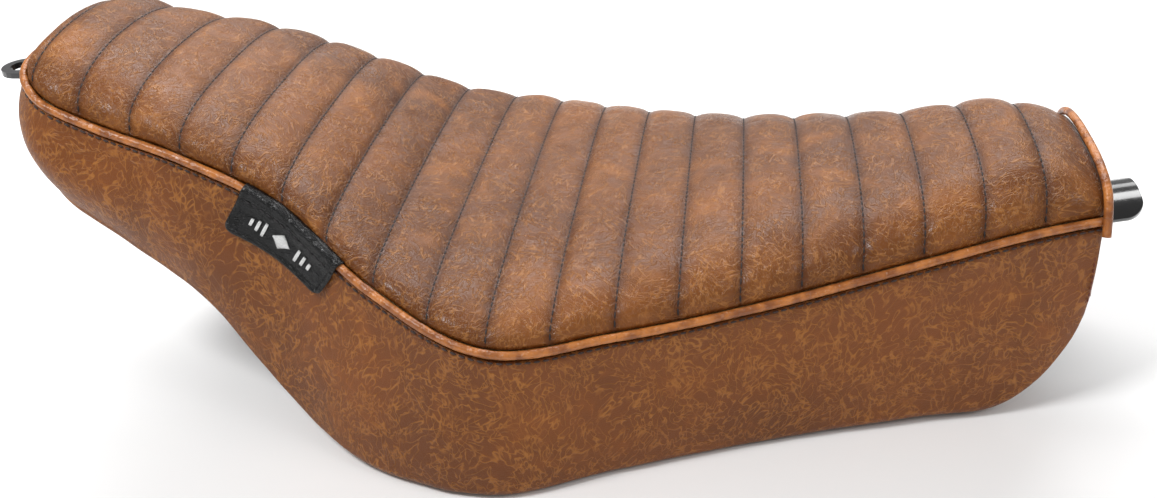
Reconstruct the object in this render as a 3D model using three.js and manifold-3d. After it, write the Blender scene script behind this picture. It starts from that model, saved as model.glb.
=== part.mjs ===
// Solo motorcycle saddle with a kicked-up tail: pleated leather over foam on a pressed steel pan.
// Millimetres, +X towards the nose (front), +Y to the rider's left, +Z up.
import * as THREE from 'three';
import { ParametricGeometry } from 'three/addons/geometries/ParametricGeometry.js';
import { mergeGeometries, mergeVertices } from 'three/addons/utils/BufferGeometryUtils.js';
import Module from 'manifold-3d';

const wasm = await Module();
wasm.setup();

// Driving dimensions -------------------------------------------------------------------------

// Ends of the upholstery.
const TAIL_X = -247;
const NOSE_X = 267;

// Places along the seat. half: half-width at the welt. rim: height of the welt. crown: height of
// the middle. hem: height of the bottom edge. flare: how far the bottom edge stands outside the
// welt. bulge: belly of the side panel. archHalf, archTop: the hollow under the pan.
const STATIONS = [
  { x: TAIL_X, half: 61, rim: 177, crown: 198, hem: 124, flare: 2, bulge: 9, archHalf: 50, archTop: 162 },
  { x: -205, half: 66, rim: 160, crown: 181, hem: 94, flare: 4, bulge: 8, archHalf: 52, archTop: 143 },
  { x: -160, half: 76, rim: 149, crown: 165, hem: 68, flare: 8, bulge: 6, archHalf: 56, archTop: 119 },
  { x: -112, half: 87, rim: 130, crown: 143, hem: 14, flare: 14, bulge: 4, archHalf: 64, archTop: 88 },
  { x: -64, half: 112, rim: 101, crown: 111, hem: 0, flare: 16, bulge: 3, archHalf: 78, archTop: 62 },
  { x: -10, half: 132, rim: 83, crown: 98, hem: 0, flare: 8, bulge: 3, archHalf: 88, archTop: 46 },
  { x: 46, half: 114, rim: 81, crown: 102, hem: 0, flare: 4, bulge: 3, archHalf: 76, archTop: 44 },
  { x: 110, half: 91, rim: 84, crown: 109, hem: 0, flare: 4, bulge: 3, archHalf: 54, archTop: 54 },
  { x: 190, half: 68, rim: 97, crown: 121, hem: 2, flare: 4, bulge: 3, archHalf: 34, archTop: 75 },
  { x: 236, half: 57, rim: 106, crown: 131, hem: 1, flare: 4, bulge: 2, archHalf: 30, archTop: 84 },
  { x: NOSE_X, half: 49, rim: 109, crown: 122, hem: 0, flare: 3, bulge: 2, archHalf: 28, archTop: 90 },
];

const TAIL_CORNER = 25; // plan radius of the tail corners
const TAIL_LIFT = 7; // the welt climbs this much to the middle of the tail
const TAIL_LIFT_LENGTH = 80;
const TAIL_ROUND = 40; // length over which the crown falls to the tail welt
const NOSE_CORNER = { length: 50, height: 75, end: 0.98 }; // lower front corner, a quarter ellipse
const TOP_SQUARE = 2.57; // section of the top: across exponent
const TOP_FULL = 2.31; // section of the top: height exponent

const COVER = 1.5; // leather with its backing
const PADDING = 6; // sewn foam behind the pleats
const PAN = 2; // pressed steel
const CARPET = 2;
const WELT_RADIUS = 2.5;
const HEM_RADIUS = 6; // roll of the cover round the pan edge
const HEM_TURN = 14; // cover turned under the pan
const HEM_RISE = 3.5; // turned edge lies this much above the roll
const SLOPE_ALLOWANCE = 1.2; // how much thicker a sloping layer measures upright

const GAP = 0.3; // between sewn or resting layers
const PAN_CLEARANCE = 1; // turned cover to pan
const STEEPEST = 3; // limit on how far a layer over a steep slope is lifted

const TONGUE = { tip: 296, root: 205, half: 20, radius: 36, corner: 8, thickness: 3, clearance: 2.2 };
const TAB = { tip: -289, bend: -252, root: -196, half: 11, thickness: 3, eye: 6.5, slope: -0.45, clearance: 0.6 };
const TAG = { from: -136, to: -86, drop: 27, thickness: 2, above: 1 };

const RIVET = { shank: 2, head: 4, headHeight: 1.2, tail: 3.2, tailHeight: 1 };
const SCREW = { shank: 2.5, head: 4.5, headHeight: 2.5 };
const NUT = { acrossFlats: 8, height: 4 };
const BUMPER = { radius: 11, height: 12, bore: 3, recess: 6, recessDepth: 4 };
const HOLE_CLEARANCE = 0.4;

const TAIL_RIVET = 0.07; // place round the rim, beside the middle of the tail
const SIDE_RIVET_X = [-198, -170, -66, 24, 112, 200];
const BUMPER_PLACES = [{ x: -20, y: 40 }, { x: 80, y: 22 }];
const TAB_BOLT_X = [-219, -204];
const TONGUE_RIVETS = [{ x: 216, y: 9 }, { x: 246, y: 9 }];

// Steps of the surfaces.
const REAR_STEPS = 3;
const CORNER_STEPS = 5;
const SIDE_STEPS = 18;
const ROW_STEPS = CORNER_STEPS + SIDE_STEPS;
const RIM_STEPS = REAR_STEPS + ROW_STEPS;
const TOP_STEPS = 8;
const FOAM_WALL = 3;
const PAN_STEPS = TOP_STEPS + 2 * FOAM_WALL;
const SIDE_ROWS = 7;

// Curves along the seat ----------------------------------------------------------------------

const { lerp, clamp, smoothstep } = THREE.MathUtils;

/** Smooth curve of one station value against x. */
function along(name) {
  const places = STATIONS.map((station) => station.x);
  const values = STATIONS.map((station) => station[name]);
  const curve = new THREE.CubicInterpolant(places, values, 1, new Float64Array(1));
  return (x) => curve.evaluate(clamp(x, TAIL_X, NOSE_X))[0];
}

const halfWidth = along('half');
const rimHeight = along('rim');
const crownHeight = along('crown');
const hemHeight = along('hem');
const flare = along('flare');
const bulge = along('bulge');
const archHalf = along('archHalf');
const archTop = along('archTop');

/** Height of the bottom edge, with the round lower front corner. */
function hem(x) {
  const { length, height, end } = NOSE_CORNER;
  const reach = clamp(1 - (NOSE_X - x) / length, 0, end);
  return Math.max(0, hemHeight(x)) + height * (1 - Math.sqrt(1 - reach ** 2));
}

/** Under surface that the hem and the pan follow: flat flanges and an arch between them. */
function underside(x, y) {
  const base = hem(x);
  const forward = clamp((x - TAIL_X) / (NOSE_X - TAIL_X), 0, 1);
  const across = Math.min(1, Math.abs(y) / archHalf(x));
  return base + (archTop(x) - base) * (1 - across ** lerp(2, 8, forward));
}

/** Slope of the under surface along and across the seat. */
function undersideSlope(x, y) {
  const step = 0.5;
  const forward = (underside(x + step, y) - underside(x - step, y)) / (2 * step);
  const left = (underside(x, y + step) - underside(x, y - step)) / (2 * step);
  return new THREE.Vector2(forward, left);
}

/** Lower face of the pan, clear of the turned edge of the cover, which crosses the arch at the tail. */
function panHeight(x, y) {
  const slope = undersideSlope(x, y);
  slope.y *= 1 - clamp((x - TAIL_X) / TAIL_ROUND, 0, 1);
  const steepness = Math.min(STEEPEST, Math.sqrt(1 + slope.lengthSq()));
  return underside(x, y) + HEM_RISE + (COVER + PAN_CLEARANCE) * steepness;
}

/** Rim of the top panel on the rider's right: row 0 at the tail, row 1 at the nose. */
function rimRow(row) {
  const step = row * ROW_STEPS;
  if (step < CORNER_STEPS) {
    const angle = (1 - step / CORNER_STEPS) * Math.PI / 2;
    const x = TAIL_X + TAIL_CORNER * (1 - Math.sin(angle));
    return new THREE.Vector2(x, -halfWidth(x) + TAIL_CORNER * (1 - Math.cos(angle)));
  }
  const x = lerp(TAIL_X + TAIL_CORNER, NOSE_X, (step - CORNER_STEPS) / SIDE_STEPS);
  return new THREE.Vector2(x, -halfWidth(x));
}

/** The same rim from the middle of the tail, place 0, to the nose, place 1. */
function rimPlan(place) {
  const step = place * RIM_STEPS;
  if (step >= REAR_STEPS) return rimRow(Math.min(1, (step - REAR_STEPS) / ROW_STEPS));
  const corner = rimRow(0);
  return new THREE.Vector2(TAIL_X, corner.y * step / REAR_STEPS);
}

/** Level outward direction of the rim. */
function rimOutward(place) {
  const step = 0.004;
  const before = rimPlan(Math.max(0, place - step));
  const after = rimPlan(Math.min(1, place + step));
  const direction = after.sub(before).normalize();
  return new THREE.Vector2(direction.y, -direction.x);
}

/** Extra height that the tail gains towards its middle. */
function lift(x, y) {
  const share = 1 - smoothstep(x, TAIL_X, TAIL_X + TAIL_LIFT_LENGTH);
  return TAIL_LIFT * share * (1 - Math.min(1, Math.abs(y) / halfWidth(x)) ** 2);
}

const WELT_DROP = SLOPE_ALLOWANCE * WELT_RADIUS + GAP; // middle of the welt below the rim
const WELT_REACH = 1.8; // middle of the welt outside the rim
const WELT_FOOT = WELT_DROP + SLOPE_ALLOWANCE * WELT_RADIUS + GAP; // top of the side panel below it

/** Rim in space, moved out level by reach and down by drop. */
function rimPoint(place, reach = 0, drop = 0) {
  const plan = rimPlan(place);
  const height = rimHeight(plan.x) + lift(plan.x, plan.y);
  const point = plan.clone().addScaledVector(rimOutward(place), reach);
  return new THREE.Vector3(point.x, point.y, height - drop);
}

// Surfaces -----------------------------------------------------------------------------------

/** Place round the rim of a row that runs across the seat. */
function rowPlace(row) {
  return (REAR_STEPS + row * ROW_STEPS) / RIM_STEPS;
}

/** Place round the rim of a point on the side. */
function placeOf(x) {
  const share = (x - TAIL_X - TAIL_CORNER) / (NOSE_X - TAIL_X - TAIL_CORNER);
  return rowPlace((CORNER_STEPS + share * SIDE_STEPS) / ROW_STEPS);
}

/** Top of the seat: row from tail to nose, across from right to left. */
function topSurface(row, across) {
  const rim = rimRow(row);
  const angle = Math.PI * across;
  const cosine = Math.cos(angle);
  const y = rim.y * Math.sign(cosine) * Math.abs(cosine) ** (2 / TOP_SQUARE);
  const rounding = clamp(1 - (rim.x - TAIL_X) / TAIL_ROUND, 0, 1);
  const fall = Math.sqrt(1 - rounding ** 2.5);
  const base = rimHeight(rim.x) + lift(rim.x, y);
  const swell = crownHeight(rim.x) - rimHeight(rim.x) - lift(rim.x, 0);
  const height = base + swell * fall * Math.max(0, Math.sin(angle)) ** (2 / TOP_FULL);
  return new THREE.Vector3(rim.x, y, height);
}

/** Side panel on the right: place round the rim, down from the welt to the turned-under edge. */
function sideSurface(place, down) {
  const plan = rimPlan(place);
  const outward = rimOutward(place);
  const wall = 4 / SIDE_ROWS;
  const roll = 6 / SIDE_ROWS;
  const edge = flare(plan.x);
  const turn = plan.clone().addScaledVector(outward, edge - HEM_RADIUS);
  const foot = underside(turn.x, turn.y);
  const top = rimPoint(place).z - WELT_FOOT;
  let reach = edge - HEM_RADIUS;
  let height = foot;
  if (down <= wall) {
    const share = down / wall;
    reach = edge * share + bulge(plan.x) * Math.sin(Math.PI * share);
    height = lerp(top, foot + HEM_RADIUS, share);
  } else if (down <= roll) {
    const angle = (down - wall) / (roll - wall) * Math.PI / 2;
    reach += HEM_RADIUS * Math.cos(angle);
    height += HEM_RADIUS * (1 - Math.sin(angle));
  } else {
    const share = (down - roll) / (1 - roll);
    reach -= HEM_TURN * share;
    const inner = plan.clone().addScaledVector(outward, reach);
    height = underside(inner.x, inner.y) + HEM_RISE * share;
  }
  const point = plan.clone().addScaledVector(outward, reach);
  return new THREE.Vector3(Math.min(point.x, NOSE_X), point.y, height);
}

const PAN_INSET = COVER + PAN_CLEARANCE + 2; // pan edge inside the cover's wall

/** Lower face of the pan: row from tail to nose, across from right to left. */
function panSurface(row, across) {
  const place = rowPlace(row);
  const plan = rimPlan(place);
  const edge = plan.clone().addScaledVector(rimOutward(place), flare(plan.x) - PAN_INSET);
  const half = -edge.y;
  const arch = Math.min(archHalf(edge.x), half * 0.92);
  const signed = 2 * across - 1;
  const flange = 2 / PAN_STEPS;
  const share = Math.abs(signed);
  let y = arch * Math.sin(share / (1 - flange) * Math.PI / 2);
  if (share > 1 - flange) y = lerp(arch, half, (share - 1 + flange) / flange);
  const x = clamp(edge.x, TAIL_X + 1, NOSE_X - GAP);
  return new THREE.Vector3(x, y * Math.sign(signed), panHeight(x, y));
}

const TAIL_FADE = 60; // a deeper layer of the top starts further in, fading over this length

/** The top of the seat, one depth further in from the top, the sides and the tail. */
function topLayer(depth) {
  return (row, across) => {
    const point = topSurface(row, across);
    const half = -rimRow(row).y;
    const fade = 1 - clamp((point.x - TAIL_X) / TAIL_FADE, 0, 1);
    point.y *= (half - depth) / half;
    return point.add(new THREE.Vector3(depth * fade, 0, -depth));
  };
}

/** Direction square to a surface at one place. */
function normalOf(surface, u, v) {
  const step = 0.002;
  const alongStep = surface(Math.min(1, u + step), v).sub(surface(Math.max(0, u - step), v));
  const acrossStep = surface(u, Math.min(1, v + step)).sub(surface(u, Math.max(0, v - step)));
  return alongStep.cross(acrossStep).normalize();
}

/** A surface moved square to itself, kept behind the front face of the seat. */
function raised(surface, distance) {
  return (u, v) => {
    const point = surface(u, v).addScaledVector(normalOf(surface, u, v), distance);
    point.x = Math.min(point.x, NOSE_X);
    return point;
  };
}

/** A surface on the other side of the seat. */
function mirrored(surface) {
  return (u, v) => surface(u, v).multiply(new THREE.Vector3(1, -1, 1));
}

/** One stretch of a surface. */
function stretch(surface, fromU, toU, fromV, toV) {
  return (u, v) => surface(lerp(fromU, toU, u), lerp(fromV, toV, v));
}

// Solids -------------------------------------------------------------------------------------

/** Turns every face of an indexed geometry over. */
function flipped(geometry) {
  const corners = geometry.index.array;
  for (let i = 0; i < corners.length; i += 3) {
    const swapped = corners[i];
    corners[i] = corners[i + 1];
    corners[i + 1] = swapped;
  }
  return geometry;
}

/** Welds a shell, drops faces that closed up, and turns the rest outwards. */
function welded(geometry) {
  const bare = geometry.clone();
  bare.deleteAttribute('normal');
  bare.deleteAttribute('uv');
  const shell = mergeVertices(bare, 1e-4);
  const corners = shell.index.array;
  const kept = [];
  for (let i = 0; i < corners.length; i += 3) {
    const face = corners.slice(i, i + 3);
    if (new Set(face).size === 3) kept.push(...face);
  }
  shell.setIndex(kept);
  const index = shell.index.array;
  const position = shell.attributes.position;
  const [a, b, c] = [new THREE.Vector3(), new THREE.Vector3(), new THREE.Vector3()];
  let volume = 0;
  for (let i = 0; i < index.length; i += 3) {
    a.fromBufferAttribute(position, index[i]);
    b.fromBufferAttribute(position, index[i + 1]);
    c.fromBufferAttribute(position, index[i + 2]);
    volume += a.dot(b.cross(c));
  }
  return volume < 0 ? flipped(shell) : shell;
}

const GRID = 1000; // points are kept to a thousandth of a millimetre, so that shared edges meet

function onGrid(point) {
  return point.multiplyScalar(GRID).round().divideScalar(GRID);
}

/** Closed solid between two surfaces over the same grid, with a band round its four edges. */
function slab(outer, inner, uSteps, vSteps) {
  const between = (a, b) => (u, w) => a(u).lerp(b(u), w);
  const patch = (surface, columns, rows) => new ParametricGeometry(
    (u, v, target) => onGrid(target.copy(surface(u, v))), columns, rows);
  const reversed = (surface) => (u, v) => surface(1 - u, v);
  const ends = [0, 1].map((v) => between((u) => outer(u, v), (u) => inner(u, v)));
  const sides = [0, 1].map((u) => between((v) => outer(u, v), (v) => inner(u, v)));
  return welded(mergeGeometries([
    patch(outer, uSteps, vSteps),
    flipped(patch(inner, uSteps, vSteps)),
    patch(reversed(ends[0]), uSteps, 1),
    patch(ends[1], uSteps, 1),
    patch(sides[0], vSteps, 1),
    patch(reversed(sides[1]), vSteps, 1),
  ]));
}

/** manifold solid of a welded geometry. */
function solidOf(geometry) {
  const vertProperties = new Float32Array(geometry.attributes.position.array);
  const triVerts = new Uint32Array(geometry.index.array);
  return new wasm.Manifold(new wasm.Mesh({ numProp: 3, vertProperties, triVerts }));
}

const FINEST = 0.02; // smaller creases left by a cut are smoothed away

/** A geometry with other geometries cut away, less any loose crumbs. */
function cut(geometry, cutters) {
  let solid = solidOf(geometry);
  for (const cutter of cutters) solid = solid.subtract(solidOf(cutter));
  solid = solid.simplify(FINEST).decompose()
    .reduce((most, piece) => (piece.volume() > most.volume() ? piece : most));
  const mesh = solid.getMesh();
  const result = new THREE.BufferGeometry();
  result.setAttribute('position', new THREE.BufferAttribute(mesh.vertProperties, 3));
  result.setIndex(new THREE.BufferAttribute(mesh.triVerts, 1));
  return result;
}

/** Round solid turned from [radius, height] points, starting and ending on the axis. */
function turned(points, segments = 10) {
  const profile = points.map(([radius, height]) => new THREE.Vector2(radius, height));
  const lathe = new THREE.LatheGeometry(profile, segments);
  lathe.rotateX(Math.PI / 2);
  return welded(lathe);
}

/** Eight-sided bar along a line of points. */
function bar(points, radius, steps) {
  const circle = new THREE.Shape();
  circle.absarc(0, 0, radius, 0, 2 * Math.PI);
  const path = new THREE.CatmullRomCurve3(points);
  const options = { steps, extrudePath: path, curveSegments: 4 };
  return welded(new THREE.ExtrudeGeometry(circle, options));
}

// Fastening places ---------------------------------------------------------------------------

/** Turns a part's +Z to a direction and moves its origin to a point. */
function placement(point, direction) {
  const turn = new THREE.Quaternion().setFromUnitVectors(new THREE.Vector3(0, 0, 1), direction);
  return new THREE.Matrix4().compose(point, turn, new THREE.Vector3(1, 1, 1));
}

/** Lower face of the pan under one point in plan. */
function panPlace(x, y) {
  const slope = undersideSlope(x, y);
  const direction = new THREE.Vector3(-slope.x, -slope.y, 1).normalize();
  return placement(new THREE.Vector3(x, y, panHeight(x, y)), direction);
}

/** Cylinder that clears a shank, from one height to another above the pan's lower face. */
function drill(place, radius, from, to) {
  return turned([[0, from], [radius, from], [radius, to], [0, to]], 8).applyMatrix4(place);
}

const mirrorY = (place) => ({ x: place.x, y: -place.y });
const bothSides = (places) => places.flatMap((place) => [mirrorY(place), place]);

const RIVET_INWARD = 0.6; // share of the turned edge between the roll and a rivet

/** Rivet places on the turned edge of the cover, right side first. */
function coverRivetPlaces() {
  return [TAIL_RIVET, ...SIDE_RIVET_X.map(placeOf)].map((place) => {
    const plan = rimPlan(place);
    const inward = flare(plan.x) - HEM_RADIUS - HEM_TURN * RIVET_INWARD;
    const point = plan.addScaledVector(rimOutward(place), inward);
    return { x: point.x, y: point.y };
  });
}

const rivetPlaces = bothSides(coverRivetPlaces());
const bumperPlaces = bothSides(BUMPER_PLACES);
const tonguePlaces = bothSides(TONGUE_RIVETS);
const tabPlaces = TAB_BOLT_X.map((x) => ({ x, y: 0 }));

const RIVET_GRIP = COVER + PAN_CLEARANCE + HEM_RISE * (1 - RIVET_INWARD) + 2 * GAP;
const SHANK_TOP = PAN + 2 * GAP;

/** Rivet whose head lies grip below the pan's lower face. */
function rivet(grip) {
  const top = SHANK_TOP + RIVET.tailHeight;
  return turned([
    [0, -grip - RIVET.headHeight],
    [RIVET.head * 0.7, -grip - RIVET.headHeight * 0.8],
    [RIVET.head, -grip],
    [RIVET.shank, -grip],
    [RIVET.shank, SHANK_TOP],
    [RIVET.tail, SHANK_TOP],
    [RIVET.tail, top],
    [0, top],
  ], 8);
}

/** Pan-head screw whose head lies grip below the pan's lower face. */
function screw(grip) {
  const top = SHANK_TOP + NUT.height;
  return turned([
    [0, -grip - SCREW.headHeight],
    [SCREW.head * 0.8, -grip - SCREW.headHeight],
    [SCREW.head, -grip - SCREW.headHeight * 0.5],
    [SCREW.head, -grip],
    [SCREW.shank, -grip],
    [SCREW.shank, top],
    [0, top],
  ]);
}

/** Hexagon nut on top of the pan. */
function nut() {
  const hexagon = new THREE.Shape();
  const radius = NUT.acrossFlats / 2 / Math.cos(Math.PI / 6);
  for (let corner = 0; corner < 6; corner += 1) {
    const angle = corner * Math.PI / 3;
    const point = [radius * Math.cos(angle), radius * Math.sin(angle)];
    if (corner === 0) hexagon.moveTo(...point);
    else hexagon.lineTo(...point);
  }
  const bore = new THREE.Path();
  bore.absarc(0, 0, SCREW.shank + GAP, 0, 2 * Math.PI, true);
  hexagon.holes.push(bore);
  const options = { depth: NUT.height - 2 * GAP, bevelEnabled: false, curveSegments: 10 };
  const shape = new THREE.ExtrudeGeometry(hexagon, options);
  shape.translate(0, 0, SHANK_TOP);
  return welded(shape);
}

const BUMPER_GAP = 2.2; // flat bumper to the curved pan

/** Rubber bumper hanging from the pan, with a bore and a recess for its screw. */
function bumper() {
  const { radius, height, bore, recess, recessDepth } = BUMPER;
  const top = -BUMPER_GAP;
  const bottom = top - height;
  return turned([
    [bore, top],
    [bore, bottom + recessDepth],
    [recess, bottom + recessDepth],
    [recess, bottom],
    [radius * 0.8, bottom],
    [radius, bottom + 3],
    [radius, top],
    [bore, top],
  ], 12);
}

const BUMPER_GRIP = BUMPER_GAP + BUMPER.height - BUMPER.recessDepth + GAP;

// Pieces -------------------------------------------------------------------------------------

function topCover() {
  return slab(topSurface, topLayer(COVER), ROW_STEPS, TOP_STEPS);
}

const PADDING_TOP = COVER + GAP;
const PADDING_UNDER = PADDING_TOP + PADDING;

function pleatPadding() {
  return slab(topLayer(PADDING_TOP), topLayer(PADDING_UNDER), ROW_STEPS, TOP_STEPS);
}

const FOAM_CLEARANCE = 1.2; // foam to the pressed pan

/** Space that the pan needs, with clearance round it, open for some way below. */
function panSpace(clearance, open = 0) {
  const wider = (surface, drop) => (row, across) => {
    const point = surface(row, across);
    point.x -= PAN * (1 - row) ** 8;
    point.y *= 1 + 0.02 * Math.abs(2 * across - 1) ** 16;
    point.z -= drop;
    return point;
  };
  const [upper, lower] = [raised(panSurface, PAN + GAP), raised(panSurface, -clearance)];
  return slab(wider(upper, 0), wider(lower, open), ROW_STEPS, PAN_STEPS);
}

/** Outer face of the foam block: up one side panel, across the padding and down the other. */
function foamSurface(row, across) {
  const step = Math.round(across * PAN_STEPS);
  const inner = topLayer(PADDING_UNDER + GAP);
  const overlap = FOAM_WALL / PAN_STEPS;
  const point = inner(row, clamp((across - overlap) / (1 - 2 * overlap), 0, 1));
  point.x = Math.min(point.x, NOSE_X - GAP);
  const wallStep = Math.min(step, PAN_STEPS - step);
  if (wallStep >= FOAM_WALL) return point;
  const place = rowPlace(row);
  const x = rimPlan(place).x;
  const share = wallStep / (FOAM_WALL - 1);
  const rim = rimPoint(place, 0, PADDING_UNDER + GAP + 0.4);
  const foot = panHeight(rim.x, rim.y) + PAN + FOAM_CLEARANCE + 1;
  const belly = Math.max(0, bulge(x)) * Math.sin(Math.PI * (1 - share)) * 0.8;
  const wall = rimPoint(place, flare(x) * (1 - share) * 0.9 + belly - COVER - 2.5);
  const side = step < PAN_STEPS / 2 ? 1 : -1;
  return new THREE.Vector3(Math.min(wall.x, NOSE_X - GAP), wall.y * side, lerp(foot, rim.z, share));
}

function foamCushion() {
  const under = (row, across) => {
    const point = raised(panSurface, PAN + FOAM_CLEARANCE)(row, across);
    point.x = Math.min(point.x, NOSE_X - GAP);
    return point;
  };
  const block = slab(foamSurface, under, ROW_STEPS, PAN_STEPS);
  const pockets = [
    ...[...rivetPlaces, ...tonguePlaces].map(({ x, y }) => (
      drill(panPlace(x, y), RIVET.tail + HOLE_CLEARANCE, -1, SHANK_TOP + RIVET.tailHeight + 1))),
    ...[...bumperPlaces, ...tabPlaces].map(({ x, y }) => (
      drill(panPlace(x, y), NUT.acrossFlats * 0.62, -1, SHANK_TOP + NUT.height + 1))),
  ];
  return cut(block, [panSpace(GAP, 20), ...pockets]);
}

function basePan() {
  const shell = slab(raised(panSurface, PAN), panSurface, ROW_STEPS, PAN_STEPS);
  const holes = [
    ...[...rivetPlaces, ...tonguePlaces].map(({ x, y }) => (
      drill(panPlace(x, y), RIVET.shank + HOLE_CLEARANCE, -3, 5))),
    ...[...bumperPlaces, ...tabPlaces].map(({ x, y }) => (
      drill(panPlace(x, y), SCREW.shank + HOLE_CLEARANCE, -3, 5))),
  ];
  return cut(shell, holes);
}

/** One side cover with its rivet holes, stopping short of the seam at the middle of the tail. */
function sideCover(onLeft) {
  const seam = GAP / 2 / TAIL_CORNER / RIM_STEPS;
  const outer = stretch(sideSurface, seam, 1, 0, 1);
  const inner = stretch(raised(sideSurface, COVER), seam, 1, 0, 1);
  const places = rivetPlaces.filter(({ y }) => (y > 0) === onLeft);
  const turn = onLeft ? mirrored : (surface) => surface;
  const panel = slab(turn(outer), turn(inner), RIM_STEPS, SIDE_ROWS);
  const holes = places.flatMap(({ x, y }) => [
    drill(panPlace(x, y), RIVET.shank + HOLE_CLEARANCE, -RIVET_GRIP - 2, 1),
    drill(panPlace(x, y), RIVET.head + HOLE_CLEARANCE, -RIVET_GRIP - 2, -RIVET_GRIP + GAP),
  ]);
  return cut(panel, [panSpace(3 * GAP), ...holes]);
}

/** Front panel with the arch for the frame tube. */
function noseCover() {
  const outline = [];
  const steps = 5;
  for (let i = 0; i <= steps; i += 1) outline.push(sideSurface(1, (1 - i / steps) * 6 / SIDE_ROWS));
  for (let i = 0; i <= TOP_STEPS; i += 1) outline.push(topSurface(1, i / TOP_STEPS));
  for (let i = 0; i <= steps; i += 1) {
    outline.push(mirrored(sideSurface)(1, (i / steps) * 6 / SIDE_ROWS));
  }
  const arch = raised(panSurface, -GAP);
  for (let i = PAN_STEPS - 1; i > 0; i -= 1) outline.push(arch(1, i / PAN_STEPS));
  const shape = new THREE.Shape(outline.map((point) => new THREE.Vector2(point.y, point.z)));
  const plate = new THREE.ExtrudeGeometry(shape, { depth: COVER, bevelEnabled: false });
  const axes = [new THREE.Vector3(0, 1, 0), new THREE.Vector3(0, 0, 1), new THREE.Vector3(1, 0, 0)];
  plate.applyMatrix4(new THREE.Matrix4().makeBasis(...axes));
  plate.translate(NOSE_X + GAP, 0, 0);
  return welded(plate);
}

/** Piping round both sides and the tail. */
function sideWelt() {
  const right = [];
  for (let i = RIM_STEPS; i >= 0; i -= 1) {
    const point = rimPoint(i / RIM_STEPS, WELT_REACH, WELT_DROP);
    point.x = Math.min(point.x, NOSE_X - GAP);
    right.push(point);
  }
  const left = right.slice(0, -1).reverse().map((point) => new THREE.Vector3(point.x, -point.y, point.z));
  return bar([...right, ...left], WELT_RADIUS, 2 * RIM_STEPS);
}

/** Piping over the front edge. */
function noseWelt() {
  const points = [];
  const out = WELT_RADIUS + GAP;
  const [start, end] = [topSurface(1, 0), topSurface(1, 1)];
  const reach = 2 * WELT_RADIUS + 4 * GAP + 1;
  points.push(new THREE.Vector3(NOSE_X, start.y - reach, start.z - 3 * WELT_RADIUS));
  points.push(new THREE.Vector3(NOSE_X, start.y - reach, start.z - WELT_RADIUS));
  for (let i = 1; i < TOP_STEPS; i += 1) {
    const point = topSurface(1, i / TOP_STEPS);
    points.push(point.addScaledVector(normalOf(topSurface, 1, i / TOP_STEPS), out));
  }
  points.push(new THREE.Vector3(NOSE_X, end.y + reach, end.z - WELT_RADIUS));
  points.push(new THREE.Vector3(NOSE_X, end.y + reach, end.z - 3 * WELT_RADIUS));
  for (const point of points) point.x = NOSE_X + COVER / 2 + GAP;
  return bar(points, WELT_RADIUS - 0.2, 2 * TOP_STEPS);
}

/** Folded leather tag that hangs over the welt on the right. */
function tag() {
  const face = (u, v) => {
    const place = placeOf(lerp(TAG.from, TAG.to, u));
    const drop = lerp(-TAG.above, TAG.drop, v);
    const rim = rimPoint(place);
    const foot = underside(rim.x, rim.y) + HEM_RADIUS;
    const wallTop = WELT_FOOT;
    const share = clamp((drop - wallTop) / (rim.z - wallTop - foot), 0, 1);
    const wall = flare(rim.x) * share + bulge(rim.x) * Math.sin(Math.PI * share);
    const overWelt = (WELT_RADIUS + 1) * (1 - smoothstep(drop, WELT_RADIUS, 3 * WELT_RADIUS));
    return rimPoint(place, Math.max(wall, 0) + overWelt + 9 * GAP, drop);
  };
  return slab(raised(face, -TAG.thickness), face, 6, 6);
}

/** Height of the tongue's crest: straight, just under the pan. */
function tongueCrest(x) {
  const slope = (archTop(NOSE_X) - archTop(TONGUE.root)) / (NOSE_X - TONGUE.root);
  return archTop(NOSE_X) + HEM_RISE + COVER - TONGUE.clearance + slope * (x - NOSE_X);
}

/** Upper face of the tongue. */
function tongueTop(u, v) {
  const { tip, root, half, radius, corner } = TONGUE;
  const x = lerp(root, tip, u < 0.5 ? u * 1.4 : 1 - (1 - u) ** 2 * 1.2);
  const reach = clamp(x - (tip - corner), 0, corner);
  const y = (half - corner + Math.sqrt(corner ** 2 - reach ** 2)) * (2 * v - 1);
  return new THREE.Vector3(x, y, tongueCrest(x) - radius + Math.sqrt(radius ** 2 - y ** 2));
}

function frontTongue() {
  const bottom = (u, v) => {
    const point = tongueTop(u, v);
    const toAxis = new THREE.Vector3(0, -point.y, tongueCrest(point.x) - TONGUE.radius - point.z);
    return point.addScaledVector(toAxis.normalize(), TONGUE.thickness);
  };
  const plate = slab(tongueTop, bottom, 12, 8);
  return cut(plate, tonguePlaces.map(({ x, y }) => (
    drill(panPlace(x, y), RIVET.shank + HOLE_CLEARANCE, -9, 1))));
}

/** Height of the tab's upper face: level outside the seat, then down along the pan. */
function tabHeight(x) {
  const level = underside(TAIL_X, 0) - TAB.clearance;
  return level + TAB.slope * Math.max(0, x - TAB.bend);
}

function rearTab() {
  const top = (u, v) => {
    const x = lerp(TAB.tip, TAB.root, 1 - Math.cos(u * Math.PI / 2));
    const reach = clamp(TAB.tip + TAB.half - x, 0, TAB.half);
    const y = Math.max(0.5, Math.sqrt(TAB.half ** 2 - reach ** 2)) * (2 * v - 1);
    return new THREE.Vector3(x, y, tabHeight(x));
  };
  const strap = slab(top, (u, v) => top(u, v).setZ(top(u, v).z - TAB.thickness), 20, 2);
  const eyeX = TAB.tip + TAB.half;
  const eye = turned([[0, -9], [TAB.eye, -9], [TAB.eye, 9], [0, 9]], 20);
  eye.translate(eyeX, 0, tabHeight(eyeX));
  const bolts = tabPlaces.map(({ x, y }) => (
    drill(panPlace(x, y), SCREW.shank + HOLE_CLEARANCE, -20, 1)));
  return cut(strap, [eye, ...bolts]);
}

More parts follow.
